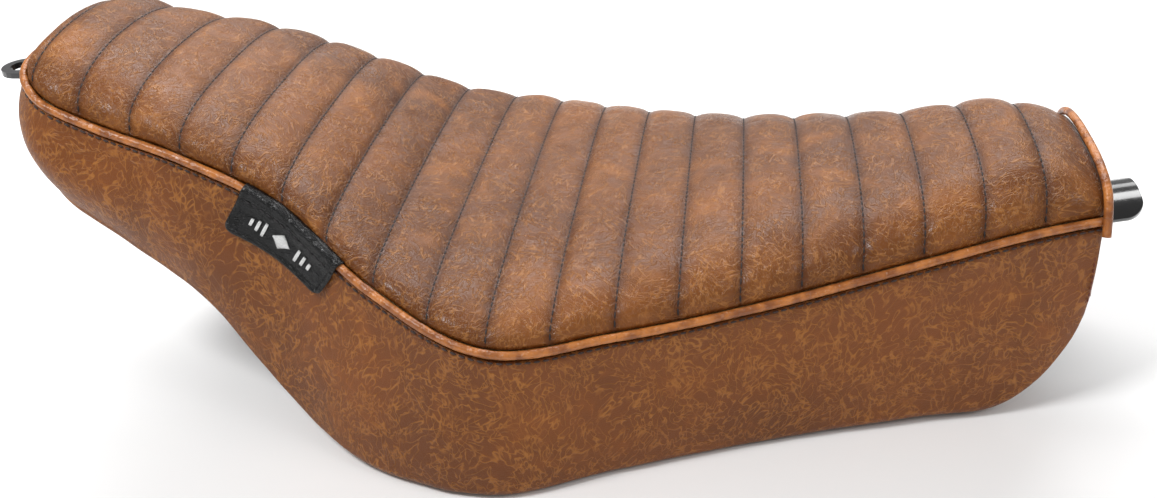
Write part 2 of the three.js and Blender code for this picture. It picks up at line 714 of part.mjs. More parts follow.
/** Carpet glued under the arch of the pan over one stretch of rows. */
function carpet(fromRow, toRow, steps) {
  const margin = 3 / PAN_STEPS;
  const lower = stretch(raised(panSurface, -CARPET - 3 * GAP), fromRow, toRow, margin, 1 - margin);
  const upper = stretch(raised(panSurface, -3 * GAP), fromRow, toRow, margin, 1 - margin);
  return slab(upper, lower, steps, PAN_STEPS - 6);
}

// Materials and assembly ---------------------------------------------------------------------

function finish(color, roughness, metalness = 0) {
  return new THREE.MeshStandardMaterial({ color, roughness, metalness });
}

const LEATHER = finish(0x8a4f2a, 0.45);
const WELT_LEATHER = finish(0xb06a32, 0.45);
const TAG_LEATHER = finish(0x15130f, 0.5);
const FOAM = finish(0xd8cfae, 0.95);
const FELT = finish(0x24231f, 1);
const BLACK_STEEL = finish(0x121212, 0.25, 0.6);
const PAN_STEEL = finish(0x1c1c1c, 0.5, 0.5);
const ZINC = finish(0xa8abad, 0.35, 1);
const RUBBER = finish(0x101010, 0.8);

const seat = new THREE.Group();
seat.position.x = -(TONGUE.tip + TAB.tip) / 2;

function add(name, geometry, material, place) {
  const mesh = new THREE.Mesh(geometry, material);
  mesh.name = name;
  if (place) mesh.applyMatrix4(place);
  seat.add(mesh);
}

/** Distance from the pan's lower face down to the underside of the tongue. */
function tongueGrip({ x, y }) {
  const under = tongueCrest(x) - TONGUE.radius + Math.sqrt((TONGUE.radius - TONGUE.thickness) ** 2 - y ** 2);
  return panHeight(x, y) - under + 5 * GAP;
}

/** Distance from the pan's lower face down to the underside of the tab. */
function tabGrip({ x, y }) {
  return panHeight(x, y) - tabHeight(x) + TAB.thickness + GAP;
}

const sideName = (y) => (y < 0 ? 'right' : 'left');

add('top_cover', topCover(), LEATHER);
add('pleat_padding', pleatPadding(), FOAM);
add('side_cover_right', sideCover(false), LEATHER);
add('side_cover_left', sideCover(true), LEATHER);
add('nose_cover', noseCover(), LEATHER);
add('side_welt', sideWelt(), WELT_LEATHER);
add('nose_welt', noseWelt(), WELT_LEATHER);
add('side_tag', tag(), TAG_LEATHER);
add('foam_cushion', foamCushion(), FOAM);
add('base_pan', basePan(), PAN_STEEL);
add('fender_carpet', carpet(0.3, 0.44, 4), FELT);
add('frame_carpet', carpet(0.72, 0.86, 4), FELT);
add('front_tongue', frontTongue(), BLACK_STEEL);
add('rear_tab', rearTab(), BLACK_STEEL);

rivetPlaces.forEach(({ x, y }, i) => {
  add(`cover_rivet_${sideName(y)}_${Math.floor(i / 2) + 1}`, rivet(RIVET_GRIP), ZINC, panPlace(x, y));
});
tonguePlaces.forEach((place, i) => {
  const name = `tongue_rivet_${sideName(place.y)}_${Math.floor(i / 2) + 1}`;
  add(name, rivet(tongueGrip(place)), ZINC, panPlace(place.x, place.y));
});
tabPlaces.forEach((place, i) => {
  add(`tab_bolt_${i + 1}`, screw(tabGrip(place)), ZINC, panPlace(place.x, place.y));
  add(`tab_nut_${i + 1}`, nut(), ZINC, panPlace(place.x, place.y));
});
bumperPlaces.forEach(({ x, y }, i) => {
  const label = `${sideName(y)}_${Math.floor(i / 2) + 1}`;
  add(`bumper_${label}`, bumper(), RUBBER, panPlace(x, y));
  add(`bumper_screw_${label}`, screw(BUMPER_GRIP), ZINC, panPlace(x, y));
  add(`bumper_nut_${label}`, nut(), ZINC, panPlace(x, y));
});

export default seat;
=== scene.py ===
"""Motorcycle seat: pleated brown leather over a steel pan, with piping, tag, tongue and tab."""
import math

import bmesh
import bpy
import numpy as np
from mathutils import Matrix, Vector, noise


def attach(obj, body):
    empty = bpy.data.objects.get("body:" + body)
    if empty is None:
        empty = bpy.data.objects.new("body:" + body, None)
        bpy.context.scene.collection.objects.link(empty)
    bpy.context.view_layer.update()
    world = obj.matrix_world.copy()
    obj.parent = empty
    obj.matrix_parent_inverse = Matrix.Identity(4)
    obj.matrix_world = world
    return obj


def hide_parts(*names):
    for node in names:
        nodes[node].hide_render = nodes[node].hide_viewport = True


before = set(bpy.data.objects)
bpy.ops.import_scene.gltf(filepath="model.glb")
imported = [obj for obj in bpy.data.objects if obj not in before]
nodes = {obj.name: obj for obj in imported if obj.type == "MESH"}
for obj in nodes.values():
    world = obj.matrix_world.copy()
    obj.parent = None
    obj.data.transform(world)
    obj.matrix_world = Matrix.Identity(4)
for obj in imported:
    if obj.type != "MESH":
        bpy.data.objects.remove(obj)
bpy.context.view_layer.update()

# Sizes in millimetres, +X to the nose -------------------------------------------------------

TAIL_X = -247.0
NOSE_X = 267.0
MIDDLE_X = 3.5  # the frame's origin, on the sizes' own x

# Places along the seat. half: half-width at the piping. rim: height of the piping. crown: height of
# the middle. hem: height of the bottom edge. flare: how far the bottom edge stands outside the piping.
# bulge: belly of the side panel. arch_half, arch_top: the hollow under the pan.
STATIONS = {
    "x": (TAIL_X, -205, -160, -112, -64, -10, 46, 110, 190, 236, NOSE_X),
    "half": (61, 66, 76, 87, 112, 132, 114, 91, 68, 57, 49),
    "rim": (177, 160, 149, 130, 101, 83, 81, 84, 97, 106, 109),
    "crown": (198, 181, 165, 143, 111, 98, 102, 109, 121, 131, 122),
    "hem": (124, 94, 68, 14, 0, 0, 0, 0, 2, 1, 0),
    "flare": (2, 4, 8, 14, 16, 8, 4, 4, 4, 4, 3),
    "bulge": (9, 8, 6, 4, 3, 3, 3, 3, 3, 2, 2),
    "arch_half": (50, 52, 56, 64, 78, 88, 76, 54, 34, 30, 28),
    "arch_top": (162, 143, 119, 88, 62, 46, 44, 54, 75, 84, 90),
}
PITCH = 28.0  # one pleat, along the crown
LAST_SEAM = 20  # count of the seam at the nose
TAIL_CORNER = 25.0  # plan radius of the tail corners
TAIL_LIFT = 7.0  # the piping climbs this much to the middle of the tail
TAIL_LIFT_LENGTH = 80.0
TAIL_ROUND = 40.0  # length over which the crown falls to the tail
NOSE_CORNER = (50.0, 75.0, 0.98)  # lower front corner: length, height, share of its quarter ellipse
TOP_SQUARE = 2.57  # section of the top: exponent across
TOP_FULL = 2.31  # section of the top: exponent of the height
WELT_RADIUS = 2.5  # space kept for the piping
WELT_SHOWN = 2.05  # radius of the piping, drawn tight
WELT_DROP = 3.3  # middle of the piping below the rim
WELT_REACH = 1.8  # middle of the piping outside the rim
WELT_FOOT = 6.6  # top of the side panel below the rim
HEM_RADIUS = 6.0  # roll of the cover round the pan edge
HEM_TURN = 14.0  # cover turned under the pan
HEM_RISE = 3.5  # the turned edge lies this much above the roll

TOP_CELLS = 10  # cloth cells in one pleat
TOP_ACROSS = 104  # cloth cells from side to side
PUFF = 2.7  # how far a pleat stands above its seams
SEAM_DEPTH = 1.6  # how far the seams are pulled in
LEATHER = 1.4  # wall of the side and front panels
STITCH_PITCH = 4.0


def lengths(line):
    """Length along a line of points to each of them."""
    return np.concatenate([[0], np.cumsum(np.linalg.norm(np.diff(line, axis=0), axis=1))])


def on_line(line, run, at):
    """Points of a line at the given lengths."""
    return np.stack([np.interp(at, run, line[:, k]) for k in range(line.shape[1])], -1)


def along(name):
    """Smooth curve of one station value against x."""
    x = np.array(STATIONS["x"], float)
    v = np.array(STATIONS[name], float)
    secant = np.diff(v) / np.diff(x)
    slope = np.empty_like(v)
    slope[1:-1] = (secant[:-1] + secant[1:]) / 2
    slope[0] = 1.5 * secant[0] - 0.5 * slope[1]
    slope[-1] = 1.5 * secant[-1] - 0.5 * slope[-2]

    def value(at):
        at = np.clip(at, x[0], x[-1])
        i = np.clip(np.searchsorted(x, at, side="right") - 1, 0, len(x) - 2)
        step = x[i + 1] - x[i]
        t = (at - x[i]) / step
        return ((2 * t**3 - 3 * t**2 + 1) * v[i] + (t**3 - 2 * t**2 + t) * step * slope[i]
                + (3 * t**2 - 2 * t**3) * v[i + 1] + (t**3 - t**2) * step * slope[i + 1])

    return value


half_width, rim_height, crown_height = along("half"), along("rim"), along("crown")
hem_height, flare, bulge = along("hem"), along("flare"), along("bulge")
arch_half, arch_top = along("arch_half"), along("arch_top")


def smooth(x, low, high):
    """0 below low, 1 above high, with a soft step between."""
    t = np.clip((x - low) / (high - low), 0, 1)
    return t * t * (3 - 2 * t)


def hem(x):
    """Height of the bottom edge, with the rounded corner at the nose."""
    length, height, end = NOSE_CORNER
    reach = np.clip(1 - (NOSE_X - x) / length, 0, end)
    return np.maximum(0, hem_height(x)) + height * (1 - np.sqrt(1 - reach**2))


def underside(x, y):
    """Height of the arched underside."""
    base = hem(x)
    forward = np.clip((x - TAIL_X) / (NOSE_X - TAIL_X), 0, 1)
    across = np.minimum(1, np.abs(y) / arch_half(x))
    return base + (arch_top(x) - base) * (1 - across ** (2 + 6 * forward))


def lift(x, y):
    """How much the piping climbs to the middle of the tail."""
    share = 1 - smooth(x, TAIL_X, TAIL_X + TAIL_LIFT_LENGTH)
    return TAIL_LIFT * share * (1 - np.minimum(1, np.abs(y) / half_width(x)) ** 2)


def rim_line():
    """The rim in plan, from the middle of the tail to the nose on the right, with its length."""
    corner = half_width(TAIL_X) - TAIL_CORNER
    across = np.stack([np.full(30, TAIL_X), -np.linspace(0, corner, 30, endpoint=False)], 1)
    angle = np.linspace(math.pi / 2, 0, 40, endpoint=False)
    x = TAIL_X + TAIL_CORNER * (1 - np.sin(angle))
    bend = np.stack([x, -half_width(x) + TAIL_CORNER * (1 - np.cos(angle))], 1)
    x = np.linspace(TAIL_X + TAIL_CORNER, NOSE_X, 700)
    side = np.stack([x, -half_width(x)], 1)
    line = np.concatenate([across, bend, side])
    return line, lengths(line)


RIM, RIM_RUN = rim_line()
RIM_LENGTH = RIM_RUN[-1]
RIM_SIDE = 70  # the side starts at this point, after the tail and its corner


def rim_plan(run):
    return on_line(RIM, RIM_RUN, run)


def rim_outward(run):
    """Level direction out of the rim."""
    step = 2.5
    ahead = rim_plan(np.minimum(run + step, RIM_LENGTH)) - rim_plan(np.maximum(run - step, 0))
    ahead /= np.linalg.norm(ahead, axis=-1, keepdims=True)
    return np.stack([ahead[..., 1], -ahead[..., 0]], -1)


def run_at(x):
    """Length round the rim to a place on the side."""
    return np.interp(x, RIM[RIM_SIDE:, 0], RIM_RUN[RIM_SIDE:])


def rim_point(run, reach=0.0, drop=0.0):
    """Point of the rim, moved out by reach and down by drop."""
    plan = rim_plan(run)
    height = rim_height(plan[..., 0]) + lift(plan[..., 0], plan[..., 1]) - drop
    plan = plan + rim_outward(run) * np.asarray(reach)[..., None]
    return np.concatenate([plan, np.asarray(height)[..., None]], -1)


# Pleat count along the crown, counted so that the nose ends a whole pleat.
CROWN_X = np.linspace(TAIL_X, NOSE_X, 2000)
CROWN_RUN = lengths(np.stack([CROWN_X, crown_height(CROWN_X)], 1))
CROWN_PLEAT = (CROWN_RUN - CROWN_RUN[-1]) / PITCH + LAST_SEAM


def top_rows(x, across):
    """Points of the top panel: one row for each x, even steps from right to left."""
    fine = np.linspace(0, 1, 600)
    angle = math.pi * fine
    cosine = np.cos(angle)
    side = np.sign(cosine) * np.abs(cosine) ** (2 / TOP_SQUARE)
    up = np.maximum(0, np.sin(angle)) ** (2 / TOP_FULL)
    bend = np.sqrt(np.maximum(0, TAIL_CORNER**2 - (TAIL_X + TAIL_CORNER - x) ** 2))
    rim_y = -half_width(x) + np.where(x < TAIL_X + TAIL_CORNER, TAIL_CORNER - bend, 0)
    fall = np.sqrt(1 - np.clip(1 - (x - TAIL_X) / TAIL_ROUND, 0, 1) ** 2.5)
    rows = np.empty((len(x), len(across), 3))
    for i, here in enumerate(x):
        y = rim_y[i] * side
        base = rim_height(here) + lift(here, y)
        swell = crown_height(here) - rim_height(here) - lift(here, 0.0)
        z = base + swell * fall[i] * up
        section = np.stack([y, z], 1)
        run = lengths(section)
        rows[i, :, 0] = here
        rows[i, :, 1:] = on_line(section, run, np.asarray(across) * run[-1])
    return rows


def normals(grid):
    """Outward directions of a grid of points, the first way by the second."""
    first = np.gradient(grid, axis=0)
    second = np.gradient(grid, axis=1)
    out = np.cross(first, second)
    return out / np.maximum(np.linalg.norm(out, axis=-1, keepdims=True), 1e-9)


def metres(point):
    """Point in the frame's metres."""
    return Vector(((point[0] - MIDDLE_X) / 1000, point[1] / 1000, point[2] / 1000))


def waver(points, size, seed):
    """Soft noise for each point, from -1 to 1, with bumps of one size."""
    flat = np.asarray(points).reshape(-1, 3) / size
    shift = Vector((seed * 7.31, seed * 3.17, seed * 5.73))
    values = [noise.noise(Vector(p) + shift) for p in flat]
    return np.array(values).reshape(np.asarray(points).shape[:-1])


# Making pieces ------------------------------------------------------------------------------

def finished(name, bm, material, replaced=(), facing=None):
    """A piece from its bmesh. A sheet says which way it faces; a closed shape turns outwards by itself."""
    if facing is None:
        bmesh.ops.recalc_face_normals(bm, faces=bm.faces)
    else:
        bm.normal_update()
        if sum(face.normal.dot(Vector(facing)) * face.calc_area() for face in bm.faces) < 0:
            bmesh.ops.reverse_faces(bm, faces=bm.faces)
    for face in bm.faces:
        face.smooth = True
    mesh = bpy.data.meshes.new(name)
    bm.to_mesh(mesh)
    bm.free()
    piece = bpy.data.objects.new(name, mesh)
    bpy.context.scene.collection.objects.link(piece)
    mesh.materials.append(material)
    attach(piece, "root")
    if replaced:
        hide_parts(*replaced)
    return piece


def sheet_of(points):
    """A grid of faces laid over a grid of points."""
    rows, columns = points.shape[:2]
    bm = bmesh.new()
    bmesh.ops.create_grid(bm, x_segments=rows - 1, y_segments=columns - 1, size=1)
    uv = bm.loops.layers.uv.new("UVMap")
    row, column = bm.verts.layers.int.new("row"), bm.verts.layers.int.new("column")
    places = {}
    for vertex in bm.verts:
        i = round((vertex.co.x + 1) / 2 * (rows - 1))
        j = round((vertex.co.y + 1) / 2 * (columns - 1))
        places[vertex] = (i, j)
        vertex[row], vertex[column] = i, j
    for face in bm.faces:
        for loop in face.loops:
            i, j = places[loop.vert]
            loop[uv].uv = (i / (rows - 1), j / (columns - 1))
    for vertex, (i, j) in places.items():
        vertex.co = metres(points[i, j])
    return bm


def thickened(piece, thickness):
    """Gives a sheet a wall, on the side away from its face."""
    wall = piece.modifiers.new("wall", "SOLIDIFY")
    wall.thickness = thickness / 1000
    wall.offset = -1


def eased(piece, width):
    """Rounds the edges of a thickened sheet."""
    edge = piece.modifiers.new("edge", "BEVEL")
    edge.width, edge.segments, edge.angle_limit = width / 1000, 3, 1.0


def tube_of(line, radius, around, up=None):
    """A round cord over a line of points, drawn in at both ends."""
    line = np.asarray(line, float)
    ahead = np.gradient(line, axis=0)
    ahead /= np.linalg.norm(ahead, axis=1, keepdims=True)
    up = np.array((0.0, 0.0, 1.0)) if up is None else np.asarray(up, float)
    side = np.cross(ahead, up)
    side /= np.linalg.norm(side, axis=-1, keepdims=True)
    top = np.cross(side, ahead)
    radius = np.broadcast_to(radius, (len(line), around + 1)).copy()
    angle = np.linspace(0, 2 * math.pi, around + 1)
    ring = (side[:, None] * np.cos(angle)[None, :, None] + top[:, None] * np.sin(angle)[None, :, None])
    points = line[:, None] + ring * radius[..., None]
    bm = sheet_of(points)
    bmesh.ops.remove_doubles(bm, verts=bm.verts, dist=1e-6)
    edges = [edge for edge in bm.edges if edge.is_boundary]
    bmesh.ops.holes_fill(bm, edges=edges, sides=0)
    return bm


def stitch_row(sewn, starts, ends, outs, radius):
    """Sews one thread stitch from each start to its end."""
    bm = bmesh.new()
    for start, end, out in zip(starts, ends, outs):
        start, end = metres(start), metres(end)
        ahead = end - start
        length = ahead.length
        if length < 1e-6:
            continue
        ahead.normalize()
        out = Vector(out).normalized()
        side = ahead.cross(out).normalized()
        out = side.cross(ahead)
        turn = Matrix((ahead, side, out)).transposed().to_4x4()
        scale = Matrix.Diagonal((length / 2, radius / 1000, radius / 1000, 1))
        place = Matrix.Translation((start + end) / 2) @ turn @ scale
        bmesh.ops.create_uvsphere(bm, u_segments=6, v_segments=6, radius=1,
                                  matrix=place @ Matrix.Rotation(math.pi / 2, 4, "Y"))
    row = bpy.data.meshes.new("row")
    bm.to_mesh(row)
    bm.free()
    sewn.from_mesh(row)
    bpy.data.meshes.remove(row)


# Finishes -----------------------------------------------------------------------------------

class Finish:
    """Small helper that lays out a node material."""

    def __init__(self, name):
        self.material = bpy.data.materials.new(name)
        self.material.use_nodes = True
        self.tree = self.material.node_tree
        self.tree.nodes.clear()
        self.out = self.tree.nodes.new("ShaderNodeOutputMaterial")
        self.shader = self.node("ShaderNodeBsdfPrincipled")
        self.tree.links.new(self.shader.outputs[0], self.out.inputs["Surface"])
        self.place = self.node("ShaderNodeTexCoord").outputs["Object"]

    def node(self, kind, **values):
        made = self.tree.nodes.new(kind)
        for key, value in values.items():
            setattr(made, key, value)
        return made

    def feed(self, socket, value):
        if isinstance(value, bpy.types.NodeSocket):
            self.tree.links.new(value, socket)
        else:
            socket.default_value = value

    def math(self, operation, *values, clamp=False):
        made = self.node("ShaderNodeMath", operation=operation, use_clamp=clamp)
        for socket, value in zip(made.inputs, values):
            self.feed(socket, value)
        return made.outputs[0]

    def noise(self, scale, detail=2.0, rough=0.5, place=None, warp=0.0, output="Fac"):
        made = self.node("ShaderNodeTexNoise")
        self.feed(made.inputs["Vector"], place or self.place)
        made.inputs["Scale"].default_value = scale
        made.inputs["Detail"].default_value = detail
        made.inputs["Roughness"].default_value = rough
        made.inputs["Distortion"].default_value = warp
        return made.outputs[output]

    def cells(self, scale, place):
        made = self.node("ShaderNodeTexVoronoi", feature="DISTANCE_TO_EDGE")
        self.feed(made.inputs["Vector"], place)
        made.inputs["Scale"].default_value = scale
        return made.outputs["Distance"]

    def band(self, value, low, high, to_low=0.0, to_high=1.0):
        """Softly from to_low, where the value is low, to to_high."""
        made = self.node("ShaderNodeMapRange", interpolation_type="SMOOTHSTEP")
        for name, number in (("From Min", low), ("From Max", high), ("To Min", to_low), ("To Max", to_high)):
            made.inputs[name].default_value = number
        self.feed(made.inputs["Value"], value)
        return made.outputs["Result"]

    def mix(self, factor, a, b):
        made = self.node("ShaderNodeMix", data_type="RGBA")
        self.feed(made.inputs[0], factor)
        self.feed(made.inputs[6], a)
        self.feed(made.inputs[7], b)
        return made.outputs[2]

    def stretched(self, turn, scale, place=None):
        """Object place turned, then drawn out along its own axes."""
        made = self.node("ShaderNodeMapping", vector_type="TEXTURE")
        self.feed(made.inputs["Vector"], place or self.place)
        made.inputs["Rotation"].default_value = turn
        made.inputs["Scale"].default_value = scale
        return made.outputs["Vector"]

    def warped(self, scale, amount, place=None):
        """Object place pushed about by noise, amount in metres."""
        shift = self.noise(scale, 1.5, place=place, output="Color")
        centred = self.node("ShaderNodeVectorMath", operation="SUBTRACT")
        self.feed(centred.inputs[0], shift)
        centred.inputs[1].default_value = (0.5, 0.5, 0.5)
        scaled = self.node("ShaderNodeVectorMath", operation="SCALE")
        self.feed(scaled.inputs[0], centred.outputs[0])
        scaled.inputs["Scale"].default_value = amount
        added = self.node("ShaderNodeVectorMath", operation="ADD")
        self.feed(added.inputs[0], place or self.place)
        self.feed(added.inputs[1], scaled.outputs[0])
        return added.outputs[0]

    def bumped(self, height, strength, distance, before=None):
        made = self.node("ShaderNodeBump")
        made.inputs["Strength"].default_value = strength
        made.inputs["Distance"].default_value = distance
        self.feed(made.inputs["Height"], height)
        if before is not None:
            self.feed(made.inputs["Normal"], before)
        return made.outputs["Normal"]

    def set(self, **values):
        for key, value in values.items():
            self.feed(self.shader.inputs[key.replace("_", " ")], value)
        return self.material


def rgb(red, green, blue):
    """Linear colour from its everyday 0 to 255 numbers."""
    def linear(value):
        value /= 255
        return value / 12.92 if value <= 0.04045 else ((value + 0.055) / 1.055) ** 2.4
    return (linear(red), linear(green), linear(blue), 1.0)


STRAND_SIZE = 390.0
STRAND_STRETCH = (4.2, 1.0, 1.5)
STRAND_FADE = 0.08
STRAND_SETS = (((0.0, 0.45), 0.35), ((0.40, 0.56), 1.35), ((0.51, 1.0), 2.4))  # where, and its angle


def pull_up_leather(name, browns, strand, crease, rough, relief, across, sewn=False):
    """Waxed leather that turns pale where it creases: strands of fine wrinkles over cloudy browns.

    browns are the dark, middle and light one. crease is how much the strands show and how strongly the
    valleys between them get painted shade; relief is how deep they are. across is the axis that their
    directions turn about. sewn leather gets painted shade on and beside its pulled-in seams.
    """
    dark, mid, light = browns
    f = Finish(name)
    clouds = f.noise(9.0, 4.0, 0.55, warp=0.4)
    patches = f.noise(28.0, 3.0, 0.6, warp=0.8)
    colour = f.mix(f.band(clouds, 0.38, 0.66), dark, mid)
    colour = f.mix(f.math("MULTIPLY", f.band(patches, 0.5, 0.74), 0.55), colour, light)

    swirl = f.warped(190.0, 0.0010, f.warped(42.0, 0.012))
    choice = f.noise(44.0, 2.0, 0.5, warp=0.5)
    strands = painted_valley_shade = None
    for (low, high), angle in STRAND_SETS:
        turn = tuple(angle * part for part in across)
        lie = f.noise(STRAND_SIZE, 1.0, 0.5, place=f.stretched(turn, STRAND_STRETCH, swirl))
        off = f.math("ABSOLUTE", f.math("SUBTRACT", lie, 0.5))
        here = f.math("MULTIPLY", f.band(choice, low - STRAND_FADE, low),
                      f.band(choice, high + STRAND_FADE, high))
        line = f.math("MULTIPLY", f.band(off, 0.0, 0.05, 1.0, 0.0), here)
        valley_shade_line = f.math("MULTIPLY", f.band(off, 0.06, 0.16), here)
        strands = line if strands is None else f.math("MAXIMUM", strands, line)
        painted_valley_shade = valley_shade_line if painted_valley_shade is None else f.math("MAXIMUM", painted_valley_shade, valley_shade_line)
    where = f.noise(17.0, 3.0, 0.6, warp=0.6)
    broken = f.noise(150.0, 2.0, 0.6)
    # Mask of where the pale creases show; it also gates the painted shade in the valleys between them.
    wear_and_valley_shade = f.math("MULTIPLY", f.band(where, 0.34, 0.6, 0.75, 1.0),
                  f.band(broken, 0.34, 0.52, 0.35, 1.0))
    lines = f.math("MULTIPLY", f.math("MULTIPLY", strands, wear_and_valley_shade), crease, clamp=True)
    colour = f.mix(lines, colour, strand)
    # Painted shade: away from the pale strands the colour is pulled towards the dark brown, as shade in the
    # wrinkle valleys.
    colour = f.mix(f.math("MULTIPLY", f.math("MULTIPLY", painted_valley_shade, wear_and_valley_shade), 0.45 * crease), colour, dark)

    if sewn:
        # Painted shade on and beside the pulled-in seams: the colour goes towards a dark brown there.
        beside = f.node("ShaderNodeAttribute", attribute_name="seam").outputs["Fac"]
        colour = f.mix(f.math("MULTIPLY", beside, 0.7), colour, rgb(58, 24, 8))

    grain = f.cells(900.0, place=f.warped(300.0, 0.0006))
    pores = f.band(grain, 0.0, 0.12)
    height = f.math("ADD", f.math("MULTIPLY", strands, f.math("MULTIPLY", wear_and_valley_shade, 0.9)),
                    f.math("MULTIPLY", pores, 0.22))
    wide = f.noise(60.0, 3.0, 0.5)
    normal = f.bumped(wide, 0.25, 0.0022)
    normal = f.bumped(height, relief, 0.00035, normal)
    gloss = f.math("ADD", f.math("MULTIPLY", f.band(patches, 0.3, 0.8), 0.14), rough)
    return f.set(Base_Color=colour, Roughness=gloss, Normal=normal, Specular_IOR_Level=0.3)


top_leather = pull_up_leather(
    "top_leather", (rgb(96, 52, 16), rgb(128, 74, 28), rgb(156, 96, 42)), rgb(192, 132, 70),
    crease=0.40, rough=0.25, relief=0.8, across=(0, 0, 1), sewn=True)
# A darker copy of the top leather: painted shade for the side and front panels, which face away from the
# light above.
shade_darkened_side_leather = pull_up_leather(
    "shade_darkened_side_leather", (rgb(104, 56, 18), rgb(124, 68, 24), rgb(140, 80, 32)), rgb(190, 126, 56),
    crease=0.50, rough=0.40, relief=0.9, across=(0, 1, 0))


def welt_finish():
    f = Finish("welt_leather")
    clouds = f.noise(120.0, 3.0)
    colour = f.mix(f.band(clouds, 0.35, 0.68), rgb(132, 74, 32), rgb(188, 116, 54))
    wrinkle = f.noise(420.0, 3.0, 0.6, warp=0.5)
    normal = f.bumped(wrinkle, 0.5, 0.0006)
    ridge = f.noise(330.0, 1.0, 0.5, warp=0.3)
    normal = f.bumped(f.band(ridge, 0.35, 0.65), 0.7, 0.0005, normal)
    return f.set(Base_Color=colour, Roughness=0.34, Normal=normal, Coat_Weight=0.1, Coat_Roughness=0.3)


def tag_finish():
    f = Finish("tag_leather")
    grain = f.cells(1100.0, place=f.warped(400.0, 0.0005))
    wide = f.noise(160.0, 3.0)
    colour = f.mix(f.band(wide, 0.3, 0.7), rgb(8, 8, 8), rgb(22, 22, 23))
    normal = f.bumped(f.band(grain, 0.0, 0.16), 0.5, 0.0002, f.bumped(wide, 0.8, 0.0022))
    return f.set(Base_Color=colour, Roughness=0.26, Normal=normal, Specular_IOR_Level=0.3)


def thread_finish(name, colour, darker):
    f = Finish(name)
    twist = f.noise(2600.0, 2.0)
    shade = f.mix(f.band(twist, 0.3, 0.7), darker, colour)
    normal = f.bumped(twist, 0.5, 0.0001)
    return f.set(Base_Color=shade, Roughness=0.62, Normal=normal)


def paint_finish(name, colour, rough, speckle=0.0):
    f = Finish(name)
    ripple = f.noise(260.0, 2.0)
    dust = f.noise(1500.0, 3.0, 0.7)
    tint = f.mix(f.math("MULTIPLY", f.band(dust, 0.55, 0.75), speckle), colour, rgb(120, 118, 112))
    gloss = f.math("ADD", f.math("MULTIPLY", ripple, 0.08), rough)
    return f.set(Base_Color=tint, Roughness=gloss, Normal=f.bumped(ripple, 0.15, 0.0002),
                 Coat_Weight=0.6, Coat_Roughness=0.08)


def rough_finish(name, low, high, scale, rough, bump):
    f = Finish(name)
    speck = f.noise(scale, 4.0, 0.7)
    colour = f.mix(f.band(speck, 0.3, 0.7), low, high)
    return f.set(Base_Color=colour, Roughness=rough, Normal=f.bumped(speck, 0.8, bump))


def zinc_finish():
    f = Finish("zinc")
    brushed = f.noise(700.0, 3.0, 0.6, place=f.stretched((0, 0, 0.4), (1, 7.0, 1)))
    colour = f.mix(f.band(brushed, 0.3, 0.7), rgb(150, 150, 146), rgb(196, 194, 186))
    return f.set(Base_Color=colour, Metallic=1.0, Roughness=0.34, Normal=f.bumped(brushed, 0.3, 0.0002))


welt_leather, tag_leather = welt_finish(), tag_finish()
pleat_thread = thread_finish("pleat_thread", rgb(38, 32, 34), rgb(16, 14, 17))
seam_thread = thread_finish("seam_thread", rgb(66, 42, 34), rgb(30, 20, 18))
front_thread = thread_finish("front_thread", rgb(120, 52, 34), rgb(70, 28, 20))
white_thread = thread_finish("white_thread", rgb(238, 238, 236), rgb(190, 190, 190))
tongue_paint = paint_finish("gloss_black", rgb(12, 12, 13), 0.12)
tab_paint = paint_finish("satin_black", rgb(24, 24, 25), 0.28, 0.5)
pan_paint = rough_finish("pan_paint", rgb(20, 20, 21), rgb(36, 36, 37), 900.0, 0.5, 0.0003)
carpet_felt = rough_finish("carpet_felt", rgb(14, 14, 15), rgb(48, 47, 46), 1400.0, 0.95, 0.0012)
foam_finish = rough_finish("open_foam", rgb(150, 138, 104), rgb(206, 194, 156), 1100.0, 0.9, 0.001)
rubber_finish = rough_finish("rubber", rgb(14, 14, 14), rgb(30, 30, 30), 500.0, 0.75, 0.0004)
zinc = zinc_finish()

# Top panel ----------------------------------------------------------------------------------

FIRST_PLEAT = math.ceil(CROWN_PLEAT[0])


def pleat_places():
    """x of every cloth row of the top panel, and its place counted in pleats."""
    rows = [CROWN_PLEAT[0] + (FIRST_PLEAT - CROWN_PLEAT[0]) * k / 4 for k in range(4)]
    rows += [FIRST_PLEAT + k / TOP_CELLS for k in range((LAST_SEAM - FIRST_PLEAT) * TOP_CELLS + 1)]
    count = np.array(rows)
    return np.interp(count, CROWN_PLEAT, CROWN_X), count


top_x, top_count = pleat_places()
top_across = np.linspace(0, 1, TOP_ACROSS + 1)
top_base = top_rows(top_x, top_across)
top_out = normals(top_base)
top_out[top_out[..., 2] < 0] *= -1


def puffed(count, across):
    """Height of the pleats above their seams, 0 to 1."""
    beside = np.abs((count + 0.5) % 1 - 0.5) * 2
    crest = (1 - (1 - beside) ** 2.2) ** 0.75
    edge = np.clip(np.minimum(across, 1 - across) / 0.045, 0, 1)
    return crest * np.sqrt(1 - (1 - edge) ** 2)


share = puffed(top_count[:, None], top_across[None, :])
share[top_count < FIRST_PLEAT] *= 0.6
seam_rows = [i for i, c in enumerate(top_count) if abs(c - round(c)) < 1e-6]
cloth_points = top_base + top_out * ((share * PUFF - SEAM_DEPTH)[..., None])
cloth_points[0], cloth_points[-1] = top_base[0], top_base[-1]
for border in (0, -1):  # the border is sewn down beside the piping
    cloth_points[:, border] = top_base[:, border] - (0, 0, 1.5)
soft = waver(top_base, 26, 1) * 0.7 + waver(top_base, 9, 2) * 0.25
cloth_points += top_out * (soft * share)[..., None]

top_cover = finished("top_cover", sheet_of(cloth_points), top_leather, ["top_cover"],
                     (0, 0, 1))


